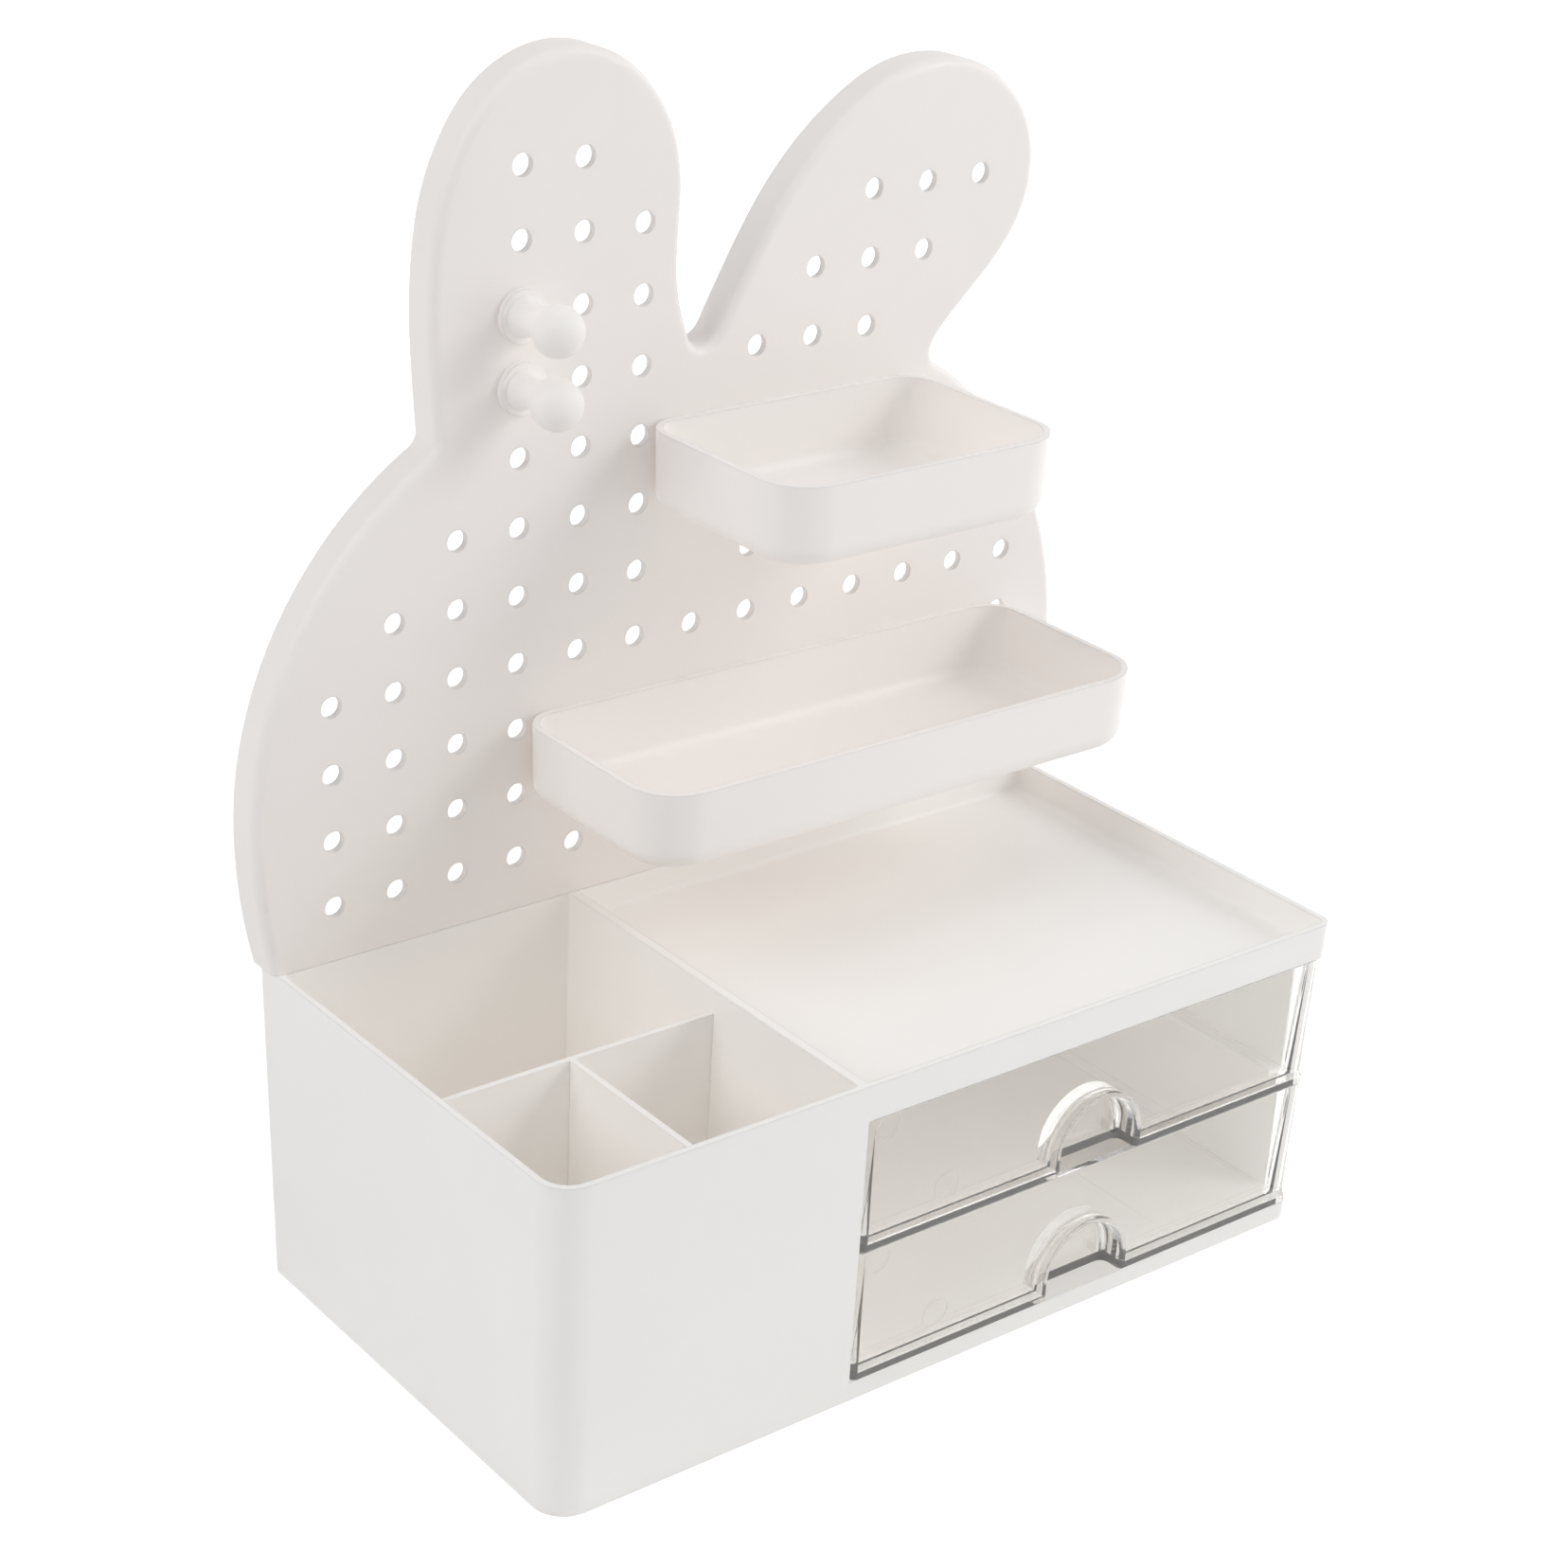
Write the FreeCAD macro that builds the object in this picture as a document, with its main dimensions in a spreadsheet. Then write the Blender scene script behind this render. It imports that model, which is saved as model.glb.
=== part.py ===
import FreeCAD, Part
import math
import os
import Sketcher

# Pegboard desk organizer with drawers.  Millimetres, +Z up, front faces -Y,
# origin at the centre of the footprint on the desk.

os.makedirs("parts", exist_ok=True)
doc = FreeCAD.newDocument("pegboard_organizer")

# ---------------------------------------------------------------- sizes

SIZES = {
    # base moulding
    "base_width": 276.4,
    "base_depth": 148.8,
    "base_height": 101.6,
    "base_draft": 0.8,
    "wall": 2.0,
    "front_left_corner": 10.0,
    "front_right_corner": 5.0,
    "back_corner": 2.4,
    "inner_corner": 1.0,
    "floor_top": 6.0,
    "floor_thickness": 2.0,
    # pen compartments, at the left
    "bay_wall_x": -39.7,
    "bay_wall": 3.0,
    "cross_divider_y": -8.0,
    "divider_drop": 7.5,
    # housing of the drawers, at the right
    "deck_depth": 9.1,
    "deck_thickness": 1.9,
    "deck_corner": 3.0,
    "deck_floor_fillet": 1.5,
    "jamb_setback": 10.8,
    "rail_width": 6.0,
    "rail_thickness": 2.0,
    # drawers
    "drawer_gap": 0.35,
    "drawer_side_gap": 0.6,
    "drawer_back_gap": 2.0,
    "drawer_wall": 2.0,
    "drawer_floor": 2.2,
    "drawer_lean": 3.0,
    "drawer_corner": 8.0,
    "drawer_inner_corner": 4.0,
    "flange_width": 3.0,
    "flange_depth": 9.0,
    "pull_radius": 14.3,
    "pull_rim": 2.0,
    "pull_straight": 5.6,
    "pull_depth": 7.5,
    "pull_fillet": 3.0,
    "pull_mouth_fillet": 1.5,
    # board
    "board_depth": 11.6,
    "board_edge_fillet": 3.0,
    "board_skin": 2.0,
    "board_overhang": 1.3,
    "cheek_bulge": 5.0,
    "cheek_height": 41.4,
    "crown_radius": 117.0,
    "neck_fillet": 5.0,
    # the two lobes: heights are over the base's rim
    "valley_x": 1.5,
    "valley_height": 158.9,
    "left_lobe_x": -47.3,
    "left_lobe_half_width": 40.4,
    "left_lobe_top": 245.9,
    "right_lobe_x": 61.45,
    "right_lobe_half_width": 59.95,
    "right_lobe_top": 231.2,
    "tongue_width": 36.0,
    "tongue_depth": 16.0,
    "tongue_spacing": 100.0,
    "tongue_gap": 0.15,
    # peg holes
    "pitch": 20.0,
    "hole_diameter": 6.3,
    "first_row_height": 16.7,
    "hole_margin": 12.6,
    # what hangs on the board
    "pin_gap": 0.08,
    "pin_length": 8.0,
    "tray_depth": 69.0,
    "tray_height": 23.7,
    "tray_rim_over_pins": 3.4,
    "tray_wall": 2.0,
    "tray_draft": 1.5,
    "tray_front_corner": 15.5,
    "tray_back_corner": 11.0,
    "tray_bottom_fillet": 6.0,
    "tray_middle_columns": 1.5,
    "small_tray_width": 100.0,
    "small_tray_row": 6.0,
    "small_tray_pins": 4.0,
    "long_tray_width": 180.0,
    "long_tray_row": 2.0,
    "long_tray_pins": 8.0,
    # knob pegs
    "knob_column": -3.0,
    "knob_upper_row": 8.0,
    "knob_lower_row": 7.0,
    "knob_flange_radius": 7.5,
    "knob_flange_thickness": 2.0,
    "knob_ball_radius": 7.25,
    "knob_ball_reach": 17.5,
    "knob_waist_radius": 4.4,
    "knob_waist_reach": 7.5,
}

sheet = doc.addObject("Spreadsheet::Sheet", "Sizes")
for row, (alias, number) in enumerate(SIZES.items(), start=1):
    sheet.set("A%d" % row, alias)
    sheet.set("B%d" % row, str(number))
    sheet.setAlias("B%d" % row, alias)
doc.recompute()


class Dim:
    """A length worked out from the sheet: its number now, and its expression for setExpression."""

    def __init__(self, number, text):
        self.number = float(number)
        self.text = text

    def __add__(self, other):
        other = as_dim(other)
        return Dim(self.number + other.number, "(%s + %s)" % (self.text, other.text))

    def __sub__(self, other):
        other = as_dim(other)
        return Dim(self.number - other.number, "(%s - %s)" % (self.text, other.text))

    def __mul__(self, other):
        other = as_dim(other)
        return Dim(self.number * other.number, "(%s * %s)" % (self.text, other.text))

    def __truediv__(self, other):
        other = as_dim(other)
        return Dim(self.number / other.number, "(%s / %s)" % (self.text, other.text))

    def __neg__(self):
        return Dim(-self.number, "(-1 * %s)" % self.text)

    def __radd__(self, other):
        return as_dim(other) + self

    def __rsub__(self, other):
        return as_dim(other) - self

    def __rmul__(self, other):
        return as_dim(other) * self


def as_dim(value):
    return value if isinstance(value, Dim) else Dim(value, repr(float(value)))


def size(alias):
    return Dim(sheet.get(alias), "Sizes." + alias)


def tangent(angle):
    return Dim(math.tan(math.radians(angle.number)), "tan(%s * 1 deg)" % angle.text)


# ---------------------------------------------------------------- helpers

def bind(feature, prop, value):
    feature.setExpression(prop, as_dim(value).text)


def new_body(name, place=(0, 0, 0)):
    body = doc.addObject("PartDesign::Body", name)
    body.Label = name
    for axis, value in zip("xyz", place):
        bind(body, "Placement.Base." + axis, value)
    return body


def new_sketch(body, name, role, offset=0):
    """A sketch on one of the body's origin planes, moved along that plane's normal."""
    sketch = body.newObject("Sketcher::SketchObject", name)
    plane = [item for item in body.Origin.OriginFeatures if item.Role == role][0]
    sketch.AttachmentSupport = [(plane, "")]
    sketch.MapMode = "FlatFace"
    bind(sketch, "AttachmentOffset.Base.z", offset)
    return sketch


def hold(sketch, kind, refs, value):
    """Adds a dimension to the sketch and binds it to the sheet."""
    value = as_dim(value)
    index = sketch.addConstraint(Sketcher.Constraint(kind, *refs, value.number))
    sketch.setExpression("Constraints[%d]" % index, value.text)


TOUCH = 0.01  # places closer than this are the same place
START, END, CENTRE = range(1, 4)
ORIGIN = (-START, START)


def polygon(sketch, corners):
    """Closed outline of straight lines, with each corner held at its place."""
    points = [FreeCAD.Vector(as_dim(x).number, as_dim(y).number, 0) for x, y in corners]
    first = sketch.GeometryCount
    count = len(corners)
    for i in range(count):
        sketch.addGeometry(Part.LineSegment(points[i], points[(i + 1) % count]), False)
    for i in range(count):
        follower = first + (i + 1) % count
        sketch.addConstraint(Sketcher.Constraint("Coincident", first + i, END, follower, START))
    for i, (x, y) in enumerate(corners):
        hold(sketch, "DistanceX", ORIGIN + (first + i, START), x)
        hold(sketch, "DistanceY", ORIGIN + (first + i, START), y)


def rectangle(sketch, left, right, low, high):
    polygon(sketch, [(left, low), (right, low), (right, high), (left, high)])


def rounded_rectangle(sketch, left, right, low, high, radii):
    """Rectangle with a tangent arc at each corner: low left, low right, high right, high left."""
    left, right, low, high = [as_dim(v) for v in (left, right, low, high)]
    radii = [as_dim(r) for r in radii]
    signs = [(1, 1), (-1, 1), (-1, -1), (1, -1)]
    corners = [(left, low), (right, low), (right, high), (left, high)]
    arcs = []
    for i, ((x, y), (sx, sy), radius) in enumerate(zip(corners, signs, radii)):
        r = radius.number
        circle = Part.Circle(FreeCAD.Vector(x.number + sx * r, y.number + sy * r, 0),
                             FreeCAD.Vector(0, 0, 1), r)
        begin = math.pi + i * math.pi / 2
        arcs.append(sketch.addGeometry(Part.ArcOfCircle(circle, begin, begin + math.pi / 2), False))
    for i in range(4):
        here, there = arcs[i], arcs[(i + 1) % 4]
        line = sketch.addGeometry(Part.LineSegment(sketch.getPoint(here, END),
                                                   sketch.getPoint(there, START)), False)
        sketch.addConstraint(Sketcher.Constraint("Tangent", here, END, line, START))
        sketch.addConstraint(Sketcher.Constraint("Tangent", line, END, there, START))
    for arc, radius in zip(arcs, radii):
        hold(sketch, "Radius", (arc,), radius)
    hold(sketch, "DistanceX", ORIGIN + (arcs[0], START), left)
    hold(sketch, "DistanceY", ORIGIN + (arcs[0], END), low)
    hold(sketch, "DistanceX", ORIGIN + (arcs[2], START), right)
    hold(sketch, "DistanceY", ORIGIN + (arcs[2], END), high)
    sketch.addConstraint(Sketcher.Constraint("Vertical", arcs[0] + 7))
    sketch.addConstraint(Sketcher.Constraint("Horizontal", arcs[0] + 4))


def pad(body, name, sketch, length, backwards=False, taper=0):
    feature = body.newObject("PartDesign::Pad", name)
    feature.Profile = sketch
    feature.Reversed = backwards
    bind(feature, "Length", length)
    bind(feature, "TaperAngle", taper)
    doc.recompute()
    return feature


def pocket(body, name, sketch, length, backwards=False, taper=0):
    """Cuts against the sketch's normal, or along it when backwards, and checks that it cut."""
    before = body.Shape.Volume
    feature = body.newObject("PartDesign::Pocket", name)
    feature.Profile = sketch
    feature.Reversed = backwards
    bind(feature, "Length", length)
    bind(feature, "TaperAngle", taper)
    doc.recompute()
    if body.Shape.Volume >= before:
        raise RuntimeError(name + " cuts nothing")
    return feature


def loft(body, name, kind, low_sketch, high_sketch):
    feature = body.newObject(kind, name)
    feature.Profile = low_sketch
    feature.Sections = [high_sketch]
    feature.Ruled = True
    doc.recompute()
    return feature


def fillet(body, name, radius, wanted):
    """Rounds the edges of the body's present shape for which wanted(edge) is true."""
    base = body.Tip
    names = ["Edge%d" % (i + 1) for i, edge in enumerate(base.Shape.Edges) if wanted(edge)]
    if not names:
        raise RuntimeError(name + " finds no edge")
    feature = body.newObject("PartDesign::Fillet", name)
    feature.Base = (base, names)
    bind(feature, "Radius", radius)
    doc.recompute()
    return feature


def lean_inwards(body, name, angle, height, wanted):
    """Leans the faces for which wanted(face) is true; the flat face at this height keeps its size."""
    base = body.Tip
    names = ["Face%d" % (i + 1) for i, face in enumerate(base.Shape.Faces) if wanted(face)]
    level = ["Face%d" % (i + 1) for i, face in enumerate(base.Shape.Faces)
             if abs(face.CenterOfMass.z - height) < TOUCH]
    feature = body.newObject("PartDesign::Draft", name)
    feature.Base = (base, names)
    feature.NeutralPlane = (base, level)
    feature.Reversed = True
    bind(feature, "Angle", angle)
    doc.recompute()
    return feature


def shell(body, name, thickness, is_open):
    """Hollows the body from the faces for which is_open(face) is true, keeping its outside."""
    base = body.Tip
    names = ["Face%d" % (i + 1) for i, face in enumerate(base.Shape.Faces) if is_open(face)]
    feature = body.newObject("PartDesign::Thickness", name)
    feature.Base = (base, names)
    feature.Reversed = True
    bind(feature, "Value", thickness)
    doc.recompute()
    return feature


def middle(edge):
    return edge.valueAt((edge.FirstParameter + edge.LastParameter) / 2)


def runs_straight(edge, axis):
    """True for a straight edge that runs within a few degrees of the x, y or z axis."""
    if len(edge.Vertexes) != 2:
        return False
    span = edge.Vertexes[1].Point - edge.Vertexes[0].Point
    return abs(getattr(span, axis)) > 0.99 * edge.Length


def upright_near(x, y, reach=4.0):
    """Test for a straight upright edge that passes close to x, y."""
    def wanted(edge):
        centre = middle(edge)
        return runs_straight(edge, "z") and math.hypot(centre.x - x, centre.y - y) < reach
    return wanted


def any_of(*tests):
    return lambda edge: any(test(edge) for test in tests)


# ---------------------------------------------------------------- shared places

wall = size("wall")
base_height = size("base_height")
half_width = size("base_width") / 2
half_depth = size("base_depth") / 2
draft = size("base_draft")
slope = tangent(draft)
board_y = half_depth - size("board_depth")
bay_right = size("bay_wall_x") - size("bay_wall") / 2
housing_left = size("bay_wall_x") + size("bay_wall") / 2
cavity_low = size("floor_top")
cavity_high = base_height - size("deck_depth") - size("deck_thickness")
half_width_at_desk = half_width - base_height * slope
cavity_right = half_width_at_desk - wall
jamb_y = size("jamb_setback") - half_depth
storey = (cavity_high - cavity_low) / 2
flange_rise = size("rail_thickness")
pin_radius = size("hole_diameter") / 2 - size("pin_gap")


def hole_x(column):
    """Column 0 is on the middle line of the board."""
    return column * size("pitch")


def hole_height(row):
    """Height over the base's rim; row 0 is the lowest."""
    return size("first_row_height") + row * size("pitch")


# ---------------------------------------------------------------- base

def make_base():
    body = new_body("base_body")
    front, back = -half_depth, half_depth
    left, right = -half_width, half_width
    inner_front = front + wall
    inner_left, inner_right = left + wall, right - wall

    outline = new_sketch(body, "base_outline", "XY_Plane", base_height)
    rectangle(outline, left, right, front, back)
    pad(body, "base_block", outline, base_height, True, -draft)
    x, y = half_width.number, half_depth.number
    fillet(body, "front_left_round", size("front_left_corner"), upright_near(-x, -y))
    fillet(body, "front_right_round", size("front_right_corner"), upright_near(x, -y))
    fillet(body, "back_rounds", size("back_corner"), any_of(upright_near(-x, y), upright_near(x, y)))

    inner_corner = size("front_left_corner") - wall
    sharp = size("inner_corner")
    bays = new_sketch(body, "pen_bay_outline", "XY_Plane", base_height)
    rounded_rectangle(bays, inner_left, bay_right, inner_front, board_y, (inner_corner, sharp, sharp, sharp))
    pocket(body, "pen_bays", bays, base_height - cavity_low, taper=-draft)

    deck = new_sketch(body, "deck_outline", "XY_Plane", base_height)
    deck_corner = size("deck_corner")
    rounded_rectangle(deck, housing_left, inner_right, inner_front, board_y,
                      (sharp, deck_corner, sharp, sharp))
    pocket(body, "deck_recess", deck, size("deck_depth"), taper=-draft)
    deck_z = (base_height - size("deck_depth")).number
    fillet(body, "deck_floor_round", size("deck_floor_fillet"),
           lambda edge: abs(middle(edge).z - deck_z) < TOUCH and not runs_straight(edge, "z"))

    cavity = new_sketch(body, "drawer_cavity_plan", "XY_Plane", cavity_high)
    outside = right + wall
    polygon(cavity, [(housing_left, front - wall), (outside, front - wall), (outside, jamb_y),
                     (cavity_right, jamb_y), (cavity_right, board_y), (housing_left, board_y)])
    pocket(body, "drawer_cavity", cavity, cavity_high - cavity_low)

    socket = new_sketch(body, "board_socket_outline", "XY_Plane", base_height)
    rectangle(socket, inner_left, inner_right, board_y + wall, back - wall)
    pocket(body, "board_socket", socket, base_height - cavity_low, taper=-draft)

    underside = new_sketch(body, "underside_outline", "XY_Plane")
    hollow_x = half_width_at_desk - wall
    hollow_y = half_depth - base_height * slope - wall
    rounded_rectangle(underside, -hollow_x, hollow_x, -hollow_y, hollow_y,
                      (inner_corner, sharp, sharp, sharp))
    pocket(body, "underside", underside, cavity_low - size("floor_thickness"), backwards=True)

    divider_height = base_height - size("divider_drop") - cavity_low
    half_wall = wall / 2
    divider_y = size("cross_divider_y")
    cross = new_sketch(body, "cross_divider_plan", "XY_Plane", cavity_low)
    rectangle(cross, left + wall, bay_right + half_wall, divider_y - half_wall, divider_y + half_wall)
    pad(body, "cross_divider", cross, divider_height)
    middle_x = (inner_left + bay_right) / 2
    short = new_sketch(body, "short_divider_plan", "XY_Plane", cavity_low)
    rectangle(short, middle_x - half_wall, middle_x + half_wall, inner_front, divider_y)
    pad(body, "short_divider", short, divider_height)

    rails = new_sketch(body, "rail_plan", "XY_Plane", cavity_low + storey - size("rail_thickness"))
    rectangle(rails, housing_left - half_wall, housing_left + size("rail_width"), jamb_y, board_y)
    rectangle(rails, cavity_right - size("rail_width"), cavity_right + half_wall, jamb_y, board_y)
    pad(body, "rails", rails, size("rail_thickness"))
    return body


# ---------------------------------------------------------------- drawers

def make_drawer(name, storey_number):
    """A clear drawer in its own frame: left side at x 0, front plane at y 0, underside at z 0."""
    low = cavity_low + storey_number * storey + size("drawer_gap")
    height = storey - 2 * size("drawer_gap")
    front_y = slope * (base_height - low - height / 2) - half_depth
    left = housing_left + size("drawer_side_gap")
    body = new_body(name, (left, front_y, low))

    thickness, floor = size("drawer_wall"), size("drawer_floor")
    width = cavity_right - size("drawer_side_gap") - left
    depth = board_y - size("drawer_back_gap") - front_y
    front_width = width + size("flange_width")
    flange_depth = size("flange_depth")
    inner = size("drawer_inner_corner")
    lean = size("drawer_lean")

    plan = new_sketch(body, name + "_plan", "XY_Plane")
    rounded_rectangle(plan, 0, width, 0, depth, (thickness, thickness, inner + thickness, inner + thickness))
    pad(body, name + "_tub", plan, height)
    front = new_sketch(body, name + "_front_plan", "XY_Plane")
    corner = size("drawer_corner")
    rounded_rectangle(front, 0, front_width, 0, flange_depth + corner, (thickness, corner, corner, corner))
    pad(body, name + "_front", front, height)
    spare = new_sketch(body, name + "_step_plan", "XY_Plane", height)
    rectangle(spare, width, front_width + thickness, flange_depth, flange_depth + 2 * corner)
    pocket(body, name + "_step", spare, height)
    rail_room = new_sketch(body, name + "_rail_room_plan", "XY_Plane", height)
    rectangle(rail_room, -thickness, width + thickness, flange_depth, depth + thickness)
    pocket(body, name + "_rail_room", rail_room, flange_rise)

    low_plan = new_sketch(body, name + "_inside_low", "XY_Plane", floor)
    rounded_rectangle(low_plan, thickness, width - thickness, thickness + lean, depth - thickness, (inner,) * 4)
    high_plan = new_sketch(body, name + "_inside_high", "XY_Plane", height)
    rounded_rectangle(high_plan, thickness, width - thickness, thickness, depth - thickness, (inner,) * 4)
    loft(body, name + "_inside", "PartDesign::SubtractiveLoft", low_plan, high_plan)

    lean_side = new_sketch(body, name + "_lean_profile", "YZ_Plane", thickness)
    polygon(lean_side, [(-thickness, floor), (lean, floor), (0, height), (-thickness, height)])
    pocket(body, name + "_lean", lean_side, front_width, backwards=True)

    centre_x = front_width / 2
    reach, top = size("pull_radius").number, (size("pull_straight") + size("pull_radius")).number
    tunnel_sketches = {}
    for part_name, radius in (("rim", size("pull_radius") + size("pull_rim")), ("hollow", size("pull_radius"))):
        tunnel_sketches[part_name] = sketch = new_sketch(body, name + "_pull_" + part_name, "XZ_Plane")
        half_round(sketch, centre_x, radius, size("pull_straight"))
    pad(body, name + "_pull_rim_pad", tunnel_sketches["rim"], size("pull_depth") + size("pull_rim"), True)
    pocket(body, name + "_pull", tunnel_sketches["hollow"], size("pull_depth"))

    def arch_at(y):
        """Test for the arch's edges at this depth, without the straight one on the underside."""
        def wanted(edge):
            centre = middle(edge)
            across = abs(centre.x - centre_x.number)
            return abs(centre.y - y) < TOUCH < centre.z < top + TOUCH and across < reach + TOUCH
        return wanted

    fillet(body, name + "_pull_round", size("pull_fillet"), arch_at(size("pull_depth").number))
    fillet(body, name + "_pull_mouth_round", size("pull_mouth_fillet"), arch_at(0))
    return body


def half_round(sketch, centre_x, radius, straight):
    """Arch shape that stands on the sketch's x axis: two upright lines under a half circle."""
    r, up, x = radius.number, straight.number, centre_x.number
    circle = Part.Circle(FreeCAD.Vector(x, up, 0), FreeCAD.Vector(0, 0, 1), r)
    arc = sketch.addGeometry(Part.ArcOfCircle(circle, 0, math.pi), False)
    corners = [FreeCAD.Vector(x - r, up, 0), FreeCAD.Vector(x - r, 0, 0),
               FreeCAD.Vector(x + r, 0, 0), FreeCAD.Vector(x + r, up, 0)]
    lines = [sketch.addGeometry(Part.LineSegment(corners[i], corners[i + 1]), False) for i in range(3)]
    sketch.addConstraint(Sketcher.Constraint("Tangent", arc, END, lines[0], START))
    sketch.addConstraint(Sketcher.Constraint("Coincident", lines[0], END, lines[1], START))
    sketch.addConstraint(Sketcher.Constraint("Coincident", lines[1], END, lines[2], START))
    sketch.addConstraint(Sketcher.Constraint("Tangent", lines[2], END, arc, START))
    sketch.addConstraint(Sketcher.Constraint("Horizontal", lines[1]))
    hold(sketch, "Radius", (arc,), radius)
    hold(sketch, "DistanceX", ORIGIN + (arc, CENTRE), centre_x)
    hold(sketch, "DistanceY", ORIGIN + (arc, CENTRE), straight)
    hold(sketch, "DistanceY", ORIGIN + (lines[1], START), 0)


# ---------------------------------------------------------------- board

# Shape of the two lobes: places that their edge passes through.  The first number is a share of the
# lobe's half width, from its middle; the second is a share of its rise from the valley to its top.
LEFT_LOBE = [(-1.0, 0.144), (-0.965, 0.468), (-0.842, 0.689), (-0.505, 0.898), (0.074, 1.0),
             (0.715, 0.867), (0.938, 0.693), (0.998, 0.42), (0.993, 0.214)]
RIGHT_LOBE = [(-0.813, 0.188), (-0.491, 0.603), (-0.133, 0.867), (0.343, 1.0), (0.751, 0.903),
              (1.0, 0.533), (0.842, 0.189), (0.495, -0.09)]
LEFT_NECK, RIGHT_NECK = -0.948, 0.39
CURVE_TOLERANCE = 0.5

# Grid places that the moulding leaves blank: column, row.
BLANK_PLACES = [(0, 4), (4, 10)]


def necks():
    """Where the lobes leave the head, in x."""
    return [size(side + "_lobe_x") + share * size(side + "_lobe_half_width")
            for side, share in (("left", LEFT_NECK), ("right", RIGHT_NECK))]


def lobe_points(side, shape):
    valley = size("valley_height")
    middle_x, half, rise = size(side + "_lobe_x"), size(side + "_lobe_half_width"), size(side + "_lobe_top") - valley
    return [FreeCAD.Vector((middle_x + across * half).number, (valley + up * rise).number, 0) for across, up in shape]


def board_outline():
    """Closed chain of lines and arcs round the board, in x and height over the base's rim."""
    widest, bulge = size("cheek_height").number, size("cheek_bulge").number
    half_seam = (half_width + size("board_overhang")).number
    half_head = half_seam + bulge
    cheek_radius = (widest ** 2 + bulge ** 2) / (2 * bulge)
    crown_radius = size("crown_radius").number
    crown_x = half_head - crown_radius

    def crown_point(x):
        side = math.copysign(1, x)
        return FreeCAD.Vector(x, widest + math.sqrt(crown_radius ** 2 - (x - side * crown_x) ** 2), 0)

    def cheek_and_crown(side, neck):
        seam = FreeCAD.Vector(side * half_seam, 0, 0)
        cheek = FreeCAD.Vector(side * half_head, widest, 0)
        cheek_turn = math.atan2(widest, cheek_radius - bulge) / 2
        cheek_middle = FreeCAD.Vector(side * (half_head - cheek_radius * (1 - math.cos(cheek_turn))),
                                      widest - cheek_radius * math.sin(cheek_turn), 0)
        crown_turn = math.atan2(neck.y - widest, side * neck.x - crown_x) / 2
        crown_middle = FreeCAD.Vector(side * (crown_x + crown_radius * math.cos(crown_turn)),
                                      widest + crown_radius * math.sin(crown_turn), 0)
        return [Part.Arc(seam, cheek_middle, cheek), Part.Arc(cheek, crown_middle, neck)]

    left_neck, right_neck = [crown_point(x.number) for x in necks()]
    valley = FreeCAD.Vector(size("valley_x").number, size("valley_height").number, 0)
    lobes = Part.BSplineCurve()
    lobes.interpolate([left_neck] + lobe_points("left", LEFT_LOBE) + [valley]
                      + lobe_points("right", RIGHT_LOBE) + [right_neck])
    seam_line = Part.LineSegment(FreeCAD.Vector(-half_seam, 0, 0), FreeCAD.Vector(half_seam, 0, 0))
    return ([seam_line] + cheek_and_crown(1, right_neck) + lobes.toBiArcs(CURVE_TOLERANCE)
            + cheek_and_crown(-1, left_neck))


def hole_places(outline):
    """Grid places, as x and height, that keep the margin from the board's edge."""
    edges = [curve.toShape() for curve in outline]
    edge_wire = Part.Wire(Part.__sortEdges__(edges))
    face = Part.Face(edge_wire)
    box = face.BoundBox
    pitch, first, margin = size("pitch").number, size("first_row_height").number, size("hole_margin").number
    reach = int(box.XMax / pitch)
    places = []
    for row in range(int((box.YMax - first) / pitch) + 1):
        for column in range(-reach, reach + 1):
            centre = FreeCAD.Vector(column * pitch, first + row * pitch, 0)
            inside = face.isInside(centre, TOUCH, True)
            clear = edge_wire.distToShape(Part.Vertex(centre))[0] >= margin
            if inside and clear and (column, row) not in BLANK_PLACES:
                places.append(centre)
    return places


def make_board():
    """The upright board in its own frame: front face at y 0, seam with the base at z 0."""
    body = new_body("pegboard_panel", (0, board_y, base_height))
    curves = board_outline()
    outline = new_sketch(body, "board_outline", "XZ_Plane")
    for curve in curves:
        outline.addGeometry(curve, False)
    doc.recompute()
    pad(body, "board_block", outline, size("board_depth"), True)

    fillet(body, "neck_rounds", size("neck_fillet"),
           lambda edge: runs_straight(edge, "y") and min(abs(middle(edge).x - x.number) for x in necks()) < TOUCH)
    back = size("board_depth").number
    shell(body, "board_shell", size("board_skin"), lambda face: face.CenterOfMass.y > back - TOUCH)
    fillet(body, "front_edge_round", size("board_edge_fillet"),
           lambda edge: edge.BoundBox.YMax < TOUCH and edge.BoundBox.ZMax > TOUCH)

    holes = new_sketch(body, "peg_hole_circles", "XZ_Plane")
    radius = size("hole_diameter").number / 2
    for centre in hole_places(curves):
        holes.addGeometry(Part.Circle(centre, FreeCAD.Vector(0, 0, 1), radius), False)
    pocket(body, "peg_holes", holes, size("board_skin") * 2)

    tongues = new_sketch(body, "tongue_plan", "XY_Plane")
    front = wall + size("tongue_gap")
    rear = size("board_depth") - front
    for place in (-1, 0, 1):
        channel(tongues, place * size("tongue_spacing"), size("tongue_width"), front, rear, size("board_skin"))
    pad(body, "tongues", tongues, size("tongue_depth"), True, -draft)
    return body


def channel(sketch, centre_x, width, front, rear, thickness):
    """Channel section open to the rear: a plate with a rib along each side."""
    left, right = centre_x - width / 2, centre_x + width / 2
    polygon(sketch, [(left, front), (right, front), (right, rear), (right - thickness, rear),
                     (right - thickness, front + thickness), (left + thickness, front + thickness),
                     (left + thickness, rear), (left, rear)])


# ---------------------------------------------------------------- trays

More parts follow.
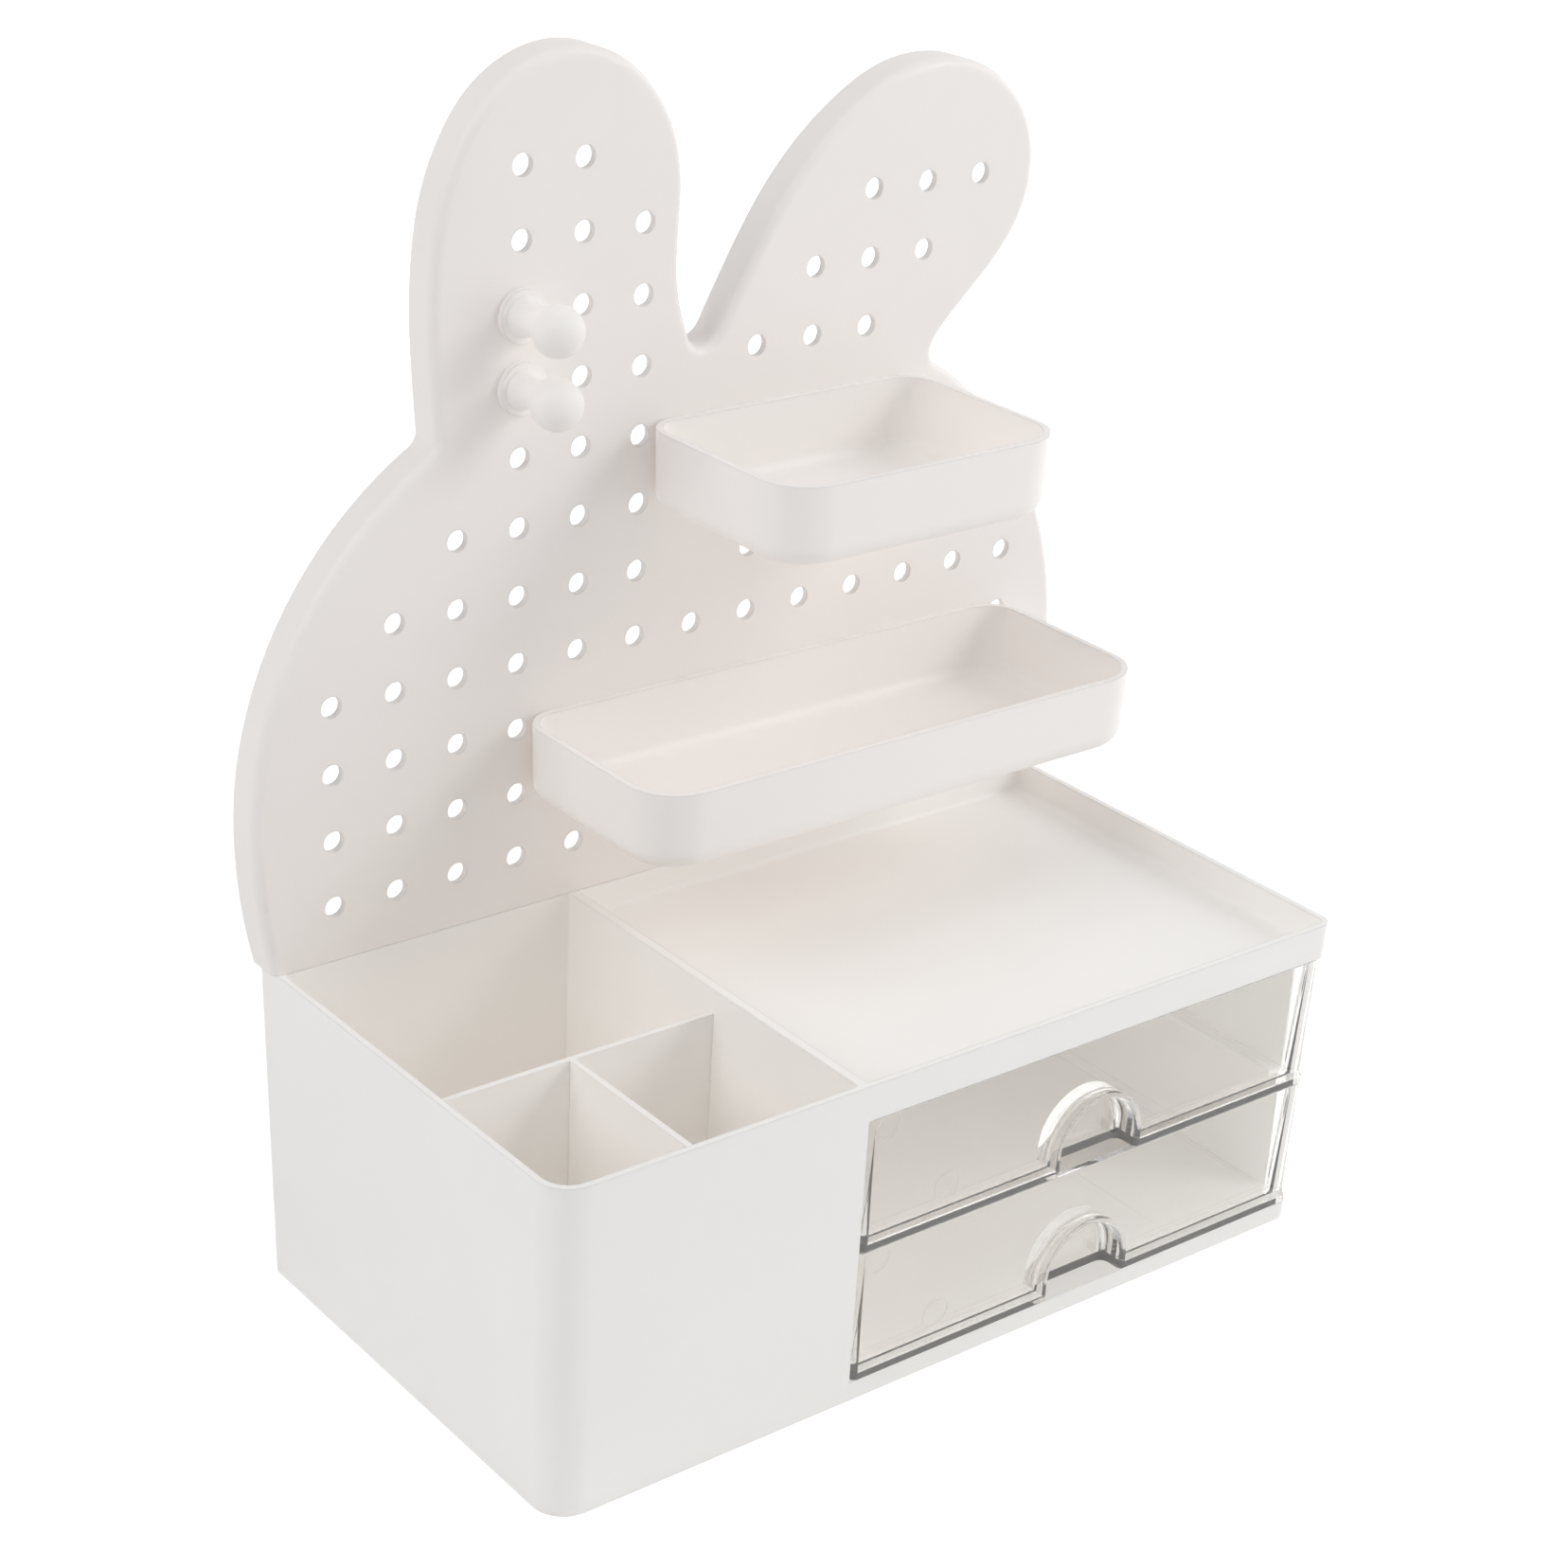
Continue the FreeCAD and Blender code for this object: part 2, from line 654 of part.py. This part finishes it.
def make_tray(name):
    """A tray in its own frame: back on y 0, pins at z 0, middle at x 0."""
    row, pins = size(name + "_row"), int(size(name + "_pins").number)
    body = new_body(name, (hole_x(size("tray_middle_columns")), board_y, base_height + hole_height(row)))
    half = size(name + "_width") / 2
    rim = size("tray_rim_over_pins")
    height, depth = size("tray_height"), size("tray_depth")
    low = (rim - height).number

    plan = new_sketch(body, name + "_plan", "XY_Plane", rim)
    rectangle(plan, -half, half, -depth, 0)
    pad(body, name + "_block", plan, height, True)
    lean_inwards(body, name + "_draft", size("tray_draft"), rim.number,
                 lambda face: low + TOUCH < face.CenterOfMass.z < rim.number - TOUCH and face.CenterOfMass.y < -TOUCH)
    side, front = half.number, depth.number
    fillet(body, name + "_front_rounds", size("tray_front_corner"),
           any_of(upright_near(-side, -front), upright_near(side, -front)))
    fillet(body, name + "_back_rounds", size("tray_back_corner"),
           any_of(upright_near(-side, 0), upright_near(side, 0)))
    fillet(body, name + "_bottom_round", size("tray_bottom_fillet"),
           lambda edge: abs(middle(edge).z - low) < TOUCH and not runs_straight(edge, "z"))
    shell(body, name + "_shell", size("tray_wall"), lambda face: face.CenterOfMass.z > rim.number - TOUCH)

    circles = new_sketch(body, name + "_pin_circles", "XZ_Plane")
    first = -(pins - 1) / 2 * size("pitch")
    for index in sorted({0, pins // 2 - 1, pins // 2, pins - 1}):
        circle(circles, first + index * size("pitch"), 0, pin_radius)
    pad(body, name + "_pins", circles, size("pin_length"), True)
    return body


def circle(sketch, x, y, radius):
    x, y, radius = as_dim(x), as_dim(y), as_dim(radius)
    geometry = Part.Circle(FreeCAD.Vector(x.number, y.number, 0), FreeCAD.Vector(0, 0, 1), radius.number)
    index = sketch.addGeometry(geometry, False)
    hold(sketch, "Radius", (index,), radius)
    hold(sketch, "DistanceX", ORIGIN + (index, CENTRE), x)
    hold(sketch, "DistanceY", ORIGIN + (index, CENTRE), y)


# ---------------------------------------------------------------- knob pegs

def make_knob_peg(name, row):
    """A knob peg in its own frame: flange on y 0, axis along y; turned from one half profile."""
    body = new_body(name, (hole_x(size("knob_column")), board_y, base_height + hole_height(row)))
    stem, flange = pin_radius.number, size("knob_flange_radius").number
    flange_y = -size("knob_flange_thickness").number
    ball, ball_y = size("knob_ball_radius").number, -size("knob_ball_reach").number
    waist, waist_y = size("knob_waist_radius").number, -size("knob_waist_reach").number
    rise = waist_y - ball_y
    neck = (waist ** 2 + rise ** 2 - ball ** 2) / (2 * (ball - waist))
    neck_centre = FreeCAD.Vector(waist_y, waist + neck, 0)
    ball_centre = FreeCAD.Vector(ball_y, 0, 0)
    meeting = ball_centre + (neck_centre - ball_centre) * (ball / (ball + neck))
    root = FreeCAD.Vector(flange_y, neck_centre.y - math.sqrt(neck ** 2 - (flange_y - waist_y) ** 2), 0)
    turn = math.atan2(meeting.y, meeting.x - ball_y)
    ball_middle = ball_centre + FreeCAD.Vector(math.cos((turn + math.pi) / 2), math.sin((turn + math.pi) / 2), 0) * ball
    tip = FreeCAD.Vector(ball_y - ball, 0, 0)
    end = size("pin_length").number
    corners = [FreeCAD.Vector(end, 0, 0), FreeCAD.Vector(end, stem, 0), FreeCAD.Vector(0, stem, 0),
               FreeCAD.Vector(0, flange, 0), FreeCAD.Vector(flange_y, flange, 0), root]
    profile = new_sketch(body, name + "_profile", "YZ_Plane")
    for here, there in zip(corners, corners[1:]):
        profile.addGeometry(Part.LineSegment(here, there), False)
    waist_point = FreeCAD.Vector(waist_y, waist, 0)
    profile.addGeometry(Part.Arc(root, waist_point, meeting), False)
    profile.addGeometry(Part.Arc(meeting, ball_middle, tip), False)
    profile.addGeometry(Part.LineSegment(tip, corners[0]), False)
    turned = body.newObject("PartDesign::Revolution", name + "_turned")
    turned.Profile = profile
    turned.ReferenceAxis = (profile, ["H_Axis"])
    turned.Angle = 360
    doc.recompute()
    return body


# ---------------------------------------------------------------- build, check and write

parts = [make_base(), make_board()]
parts += [make_drawer("drawer_lower", 0), make_drawer("drawer_upper", 1)]
parts += [make_tray("small_tray"), make_tray("long_tray")]
parts += [make_knob_peg("knob_peg_upper", size("knob_upper_row")),
          make_knob_peg("knob_peg_lower", size("knob_lower_row"))]
doc.recompute()

for item in doc.Objects:
    if "Invalid" in item.State or "Error" in item.State:
        raise RuntimeError("%s failed: %s" % (item.Name, item.State))
for part in parts:
    shape = part.Shape
    if shape.isNull() or not shape.isValid() or len(shape.Solids) != 1:
        raise RuntimeError(part.Label + " is not one valid solid")
for part in parts:
    part.Shape.exportStep("parts/%s.step" % part.Label)
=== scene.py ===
import math

import bpy
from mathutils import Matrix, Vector


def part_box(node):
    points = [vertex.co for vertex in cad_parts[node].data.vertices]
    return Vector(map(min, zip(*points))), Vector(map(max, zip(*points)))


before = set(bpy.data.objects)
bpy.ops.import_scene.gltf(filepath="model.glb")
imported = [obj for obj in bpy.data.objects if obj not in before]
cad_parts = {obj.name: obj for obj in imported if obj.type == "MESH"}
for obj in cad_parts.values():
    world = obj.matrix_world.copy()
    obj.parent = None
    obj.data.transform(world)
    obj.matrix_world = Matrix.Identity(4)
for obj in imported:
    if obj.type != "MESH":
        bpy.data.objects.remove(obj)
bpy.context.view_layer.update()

# ---------------------------------------------------------------- camera, in metres and degrees

CAMERA_PLACE = (-0.51134, -0.61537, 0.51285)
CAMERA_TURN = (63.993, -2.361, -37.251)
FOCAL_LENGTH = 71.917
SENSOR_WIDTH = 36.0
SHIFT = (0.02163, 0.05545)
CLIP = 0.01, 50.0


def make_camera():
    data = bpy.data.cameras.new("camera")
    data.lens = FOCAL_LENGTH
    data.sensor_width = SENSOR_WIDTH
    data.sensor_fit = "HORIZONTAL"
    data.shift_x, data.shift_y = SHIFT
    data.clip_start, data.clip_end = CLIP
    camera = bpy.data.objects.new("camera", data)
    camera.location = CAMERA_PLACE
    camera.rotation_euler = [math.radians(turn) for turn in CAMERA_TURN]
    bpy.context.scene.collection.objects.link(camera)
    bpy.context.scene.camera = camera


# ---------------------------------------------------------------- nodes

# noise under the first is all dull, and noise over the second is all bright
CLOUD_BAND = 0.3, 0.7
# cosine of the angle between the rounded and the flat normal at which a corner counts as fully rubbed,
# and on the white plastic as fully covered by the painted edge highlight
RUBBED_AND_HIGHLIGHT_COSINE = 0.85
SEEING_RAYS = ("Is Camera Ray", "Is Glossy Ray", "Is Transmission Ray")


def connect(node, inputs):
    """Fills a node's inputs, given by name or number: a socket is linked, anything else is the value."""
    for name, value in inputs.items():
        if isinstance(value, bpy.types.NodeSocket):
            node.id_data.links.new(value, node.inputs[name])
        else:
            node.inputs[name].default_value = value


class Nodes:
    """Short hand for the node tree of a material or the world."""

    def __init__(self, owner):
        owner.use_nodes = True
        self.nodes = owner.node_tree.nodes

    def add(self, kind, inputs=None, **settings):
        """Adds a node, with its settings made before its inputs are filled."""
        node = self.nodes.new(kind)
        for name, setting in settings.items():
            setattr(node, name, setting)
        connect(node, inputs or {})
        return node

    def place(self):
        """Position on the object at rest, in metres."""
        return self.add("ShaderNodeTexCoord").outputs["Object"]

    def noise(self, place, size, detail=3.0):
        """Noise with blotches about size metres across."""
        inputs = {"Vector": place, "Scale": 1 / size, "Detail": detail}
        return self.add("ShaderNodeTexNoise", inputs).outputs["Fac"]

    def between(self, value, low, high, start=0.0, end=1.0):
        """Takes start..end of a value to low..high."""
        inputs = {"Value": value, "From Min": start, "From Max": end, "To Min": low, "To Max": high}
        return self.add("ShaderNodeMapRange", inputs).outputs["Result"]

    def math(self, operation, *values):
        """Joins values two by two."""
        total = values[0]
        for value in values[1:]:
            total = self.add("ShaderNodeMath", {0: total, 1: value}, operation=operation).outputs[0]
        return total

    def vector_math(self, operation, first, second=None):
        inputs = {0: first} if second is None else {0: first, 1: second}
        return self.add("ShaderNodeVectorMath", inputs, operation=operation).outputs

    def clouds(self, place, size, dull, bright):
        """Colour that drifts from dull to bright in blotches about size metres across."""
        node = self.add("ShaderNodeValToRGB", {"Fac": self.noise(place, size)})
        for element, position, colour in zip(node.color_ramp.elements, CLOUD_BAND, (dull, bright)):
            element.position = position
            element.color = (*colour, 1)
        return node.outputs["Color"]

    def edges(self, radius):
        """The normal rounded over the corners, and a mask that is 1 on them."""
        rounded = self.add("ShaderNodeBevel", {"Radius": radius}).outputs["Normal"]
        flat = self.add("ShaderNodeNewGeometry").outputs["Normal"]
        along = self.vector_math("DOT_PRODUCT", rounded, flat)["Value"]
        return rounded, self.between(along, 1.0, 0.0, start=RUBBED_AND_HIGHLIGHT_COSINE, end=1.0)

    def bump(self, height, normal, strength, distance):
        inputs = {"Height": height, "Normal": normal, "Strength": strength, "Distance": distance}
        return self.add("ShaderNodeBump", inputs).outputs["Normal"]

    def seen(self):
        """1 for rays that look: from the camera, or onward from a mirroring or clear surface."""
        rays = self.add("ShaderNodeLightPath").outputs
        return self.math("MAXIMUM", *[rays[kind] for kind in SEEING_RAYS])

    def choose(self, choice, if_no, if_yes):
        return self.add("ShaderNodeMixShader", {0: choice, 1: if_no, 2: if_yes}).outputs[0]


# ---------------------------------------------------------------- white plastic, lengths in metres

# dull, bright, and the lighter white of the painted edge highlight on the corners: the housing is a more
# neutral white than the board and what hangs on it
HOUSING_WHITES = (0.975, 0.959, 0.938), (0.986, 0.972, 0.954), (0.990, 0.981, 0.968)
BOARD_WHITES = (0.937, 0.900, 0.876), (0.952, 0.918, 0.895), (0.965, 0.940, 0.920)
FITTING_WHITES = (0.958, 0.930, 0.908), (0.971, 0.944, 0.924), (0.980, 0.960, 0.944)
WHITE_IOR = 1.46
WHITE_ROUNDING = 0.0006
WHITE_CLOUD_SIZE = 0.06
# roughness of the patches, to which the spark skin and the rubbed corners add theirs
PATCH_SIZE = 0.02
PATCH_ROUGHNESS = 0.36, 0.48
SKIN_SIZE = 0.0011
SKIN_DETAIL = 2.0
SKIN_ROUGHNESS = -0.05, 0.05
RUBBED_ROUGHNESS = 0.0, -0.08
# strength and height
SKIN_BUMP = 0.08, 0.0002


def white_plastic(name, dull_white, bright_white, edge_highlight_white):
    """Satin moulding: warm clouding, duller and glossier patches, a fine spark skin, and glossier corners
    painted lighter as a painted edge highlight.
    """
    material = bpy.data.materials.new(name)
    m = Nodes(material)
    place = m.place()
    rounded, corner = m.edges(WHITE_ROUNDING)
    body = m.clouds(place, WHITE_CLOUD_SIZE, dull_white, bright_white)
    # the corners are painted a lighter white: a painted highlight along the edges
    colours = {"Factor": corner, "A": body, "B": (*edge_highlight_white, 1)}
    colour = m.add("ShaderNodeMix", colours, data_type="RGBA").outputs["Result"]
    skin = m.noise(place, SKIN_SIZE, SKIN_DETAIL)
    patches = m.between(m.noise(place, PATCH_SIZE), *PATCH_ROUGHNESS, *CLOUD_BAND)
    grain = m.between(skin, *SKIN_ROUGHNESS)
    connect(m.nodes["Principled BSDF"], {
        "Base Color": colour,
        "Roughness": m.math("ADD", patches, grain, m.between(corner, *RUBBED_ROUGHNESS)),
        "Normal": m.bump(skin, rounded, *SKIN_BUMP),
        "IOR": WHITE_IOR,
    })
    return material


# ---------------------------------------------------------------- clear plastic, lengths in metres

# dull and bright
CLEAR_TINTS = (0.993, 0.982, 0.964), (0.999, 0.991, 0.976)
CLEAR_IOR = 1.58
CLEAR_TRANSMISSION = 0.96
CLEAR_ROUNDING = 0.0003
CLEAR_CLOUD_SIZE = 0.05
SCUFF_SIZE = 0.004
SCUFF_DETAIL = 6.0
SCUFF_BAND = 0.45, 0.8
SCUFF_ROUGHNESS = 0.006, 0.045
CLEAR_RUBBED_ROUGHNESS = 0.0, 0.03
WAVE_SIZE = 0.03
WAVE_DETAIL = 1.0
# strength and height
WAVE_BUMP = 0.1, 0.0008
MARK_BUMP = 0.18, 0.0003
# rays that have met more surfaces than this go straight on, and don't end black between two walls
TRAPPED_AFTER = 5.5

# marks of the ejector pins on a drawer's front, by their places from its lower left corner
MARK_PLACES = ((0.0070, 0.0375), (0.0320, 0.0095))
MARK_RADIUS = 0.0044
MARK_LINE = 0.0006
FRONT_WALL = 0.004


def ejector_marks(m, place, drawer):
    """Height of the round marks that ejector pins left on the drawer's front."""
    (left, front, low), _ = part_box(drawer)
    flat = m.vector_math("MULTIPLY", place, (1, 0, 1))[0]
    rings = []
    for right, up in MARK_PLACES:
        away = m.vector_math("DISTANCE", flat, (left + right, 0, low + up))["Value"]
        off = m.math("SUBTRACT", away, MARK_RADIUS)
        off = m.add("ShaderNodeMath", {0: off}, operation="ABSOLUTE").outputs[0]
        rings.append(m.between(off, 1.0, 0.0, end=MARK_LINE))
    depth = m.add("ShaderNodeSeparateXYZ", {0: place}).outputs["Y"]
    at_front = m.between(depth, 1.0, 0.0, start=front + FRONT_WALL, end=front + 2 * FRONT_WALL)
    return m.math("MULTIPLY", m.math("MAXIMUM", *rings), at_front)


def clear_plastic(drawer):
    """Clear moulded polystyrene: faint scuffs, waves and pin marks, and a way through for the light."""
    material = bpy.data.materials.new("clear_polystyrene_" + drawer)
    m = Nodes(material)
    place = m.place()
    rounded, corner = m.edges(CLEAR_ROUNDING)
    scuffs = m.between(m.noise(place, SCUFF_SIZE, SCUFF_DETAIL), *SCUFF_ROUGHNESS, *SCUFF_BAND)
    waves = m.bump(m.noise(place, WAVE_SIZE, WAVE_DETAIL), rounded, *WAVE_BUMP)
    plastic = m.nodes["Principled BSDF"]
    connect(plastic, {
        "Base Color": m.clouds(place, CLEAR_CLOUD_SIZE, *CLEAR_TINTS),
        "Roughness": m.math("ADD", scuffs, m.between(corner, *CLEAR_RUBBED_ROUGHNESS)),
        "Normal": m.bump(ejector_marks(m, place, drawer), waves, *MARK_BUMP),
        "Transmission Weight": CLEAR_TRANSMISSION,
        "IOR": CLEAR_IOR,
    })
    rays = m.add("ShaderNodeLightPath").outputs
    trapped = m.math("GREATER_THAN", rays["Ray Depth"], TRAPPED_AFTER)
    through = m.math("MAXIMUM", rays["Is Shadow Ray"], rays["Is Diffuse Ray"], trapped)
    nothing = m.add("ShaderNodeBsdfTransparent").outputs[0]
    connect(m.nodes["Material Output"], {"Surface": m.choose(through, plastic.outputs[0], nothing)})
    return material


def dress():
    """Gives each CAD node its finish: clear drawers, a white housing, and the board with its fittings."""
    fittings = white_plastic("satin_white_fittings", *FITTING_WHITES)
    finishes = {drawer: clear_plastic(drawer) for drawer in ("drawer_upper", "drawer_lower")}
    finishes["base_body"] = white_plastic("satin_white_housing", *HOUSING_WHITES)
    finishes["pegboard_panel"] = white_plastic("satin_white_board", *BOARD_WHITES)
    for node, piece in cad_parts.items():
        piece.data.materials.clear()
        piece.data.materials.append(finishes.get(node, fittings))


# ---------------------------------------------------------------- floor, surroundings and lamps

FLOOR_SIZE = 6.0
# dull and bright
FLOOR_COLOURS = (0.891, 0.891, 0.891), (0.9, 0.9, 0.9)
FLOOR_CLOUD_SIZE = 0.5
FLOOR_ROUGHNESS = 0.9
# the glow that the floor is seen with: its strength at the near and at the far distance, in metres
GLOW_STRENGTHS = 0.45, 1.0
GLOW_DISTANCES = 0.35, 1.1

WHITE = (1, 1, 1, 1)
# strength of the surroundings as a light; where they are seen it is 1
FILL = 0.38

# name: direction as degrees right of the front and degrees up, distance, width, watts
LAMPS = {
    "key": (48.0, 33.0, 1.8, 0.7, 6.1),
    "left": (-93.0, 35.0, 1.8, 1.2, 9.6),
    "right": (90.0, 12.0, 1.8, 1.2, 5.0),
    "front": (34.0, 12.0, 2.0, 1.2, 5.7),
    "top": (0.0, 88.0, 1.8, 1.4, 4.2),
}
LAMP_AIM = Vector((0.0, 0.0, 0.15))


def make_floor():
    """Pale paper that keeps the object's shadow, and turns to plain white further off."""
    bpy.ops.mesh.primitive_plane_add(size=FLOOR_SIZE)
    floor = bpy.context.object
    floor.name = "floor"
    material = bpy.data.materials.new("floor_paper")
    m = Nodes(material)
    place = m.place()
    paper = m.nodes["Principled BSDF"]
    connect(paper, {
        "Base Color": m.clouds(place, FLOOR_CLOUD_SIZE, *FLOOR_COLOURS),
        "Roughness": FLOOR_ROUGHNESS,
    })
    away = m.vector_math("LENGTH", place)["Value"]
    strength = m.between(away, *GLOW_STRENGTHS, *GLOW_DISTANCES)
    glow = m.add("ShaderNodeEmission", {"Strength": strength}).outputs[0]
    glowing = m.add("ShaderNodeAddShader", {0: paper.outputs[0], 1: glow}).outputs[0]
    connect(m.nodes["Material Output"], {"Surface": m.choose(m.seen(), paper.outputs[0], glowing)})
    floor.data.materials.append(material)


def make_surroundings():
    """Dim white fill for lighting, plain white where the surroundings are seen or mirrored."""
    world = bpy.data.worlds.new("studio")
    bpy.context.scene.world = world
    w = Nodes(world)
    fill = w.nodes["Background"]
    connect(fill, {"Color": WHITE, "Strength": FILL})
    backdrop = w.add("ShaderNodeBackground", {"Color": WHITE})
    surroundings = w.choose(w.seen(), fill.outputs[0], backdrop.outputs[0])
    connect(w.nodes["World Output"], {"Surface": surroundings})


def make_lamps():
    for name, (right, up, distance, width, watts) in LAMPS.items():
        turn, rise = math.radians(right), math.radians(up)
        across = math.cos(rise)
        direction = Vector((math.sin(turn) * across, -math.cos(turn) * across, math.sin(rise)))
        data = bpy.data.lights.new(name, "AREA")
        data.size = width
        data.energy = watts
        lamp = bpy.data.objects.new(name, data)
        lamp.location = LAMP_AIM + direction * distance
        lamp.rotation_euler = direction.to_track_quat("Z", "Y").to_euler()
        bpy.context.scene.collection.objects.link(lamp)


def let_light_travel():
    """Enough bounces for the white bays, and for what lies behind several clear walls."""
    cycles = bpy.context.scene.cycles
    cycles.max_bounces = 40
    cycles.diffuse_bounces = 16
    cycles.transmission_bounces = 24
    cycles.transparent_max_bounces = 32


bpy.context.scene.view_settings.view_transform = "Standard"
make_camera()
dress()
make_floor()
make_surroundings()
make_lamps()
let_light_travel()
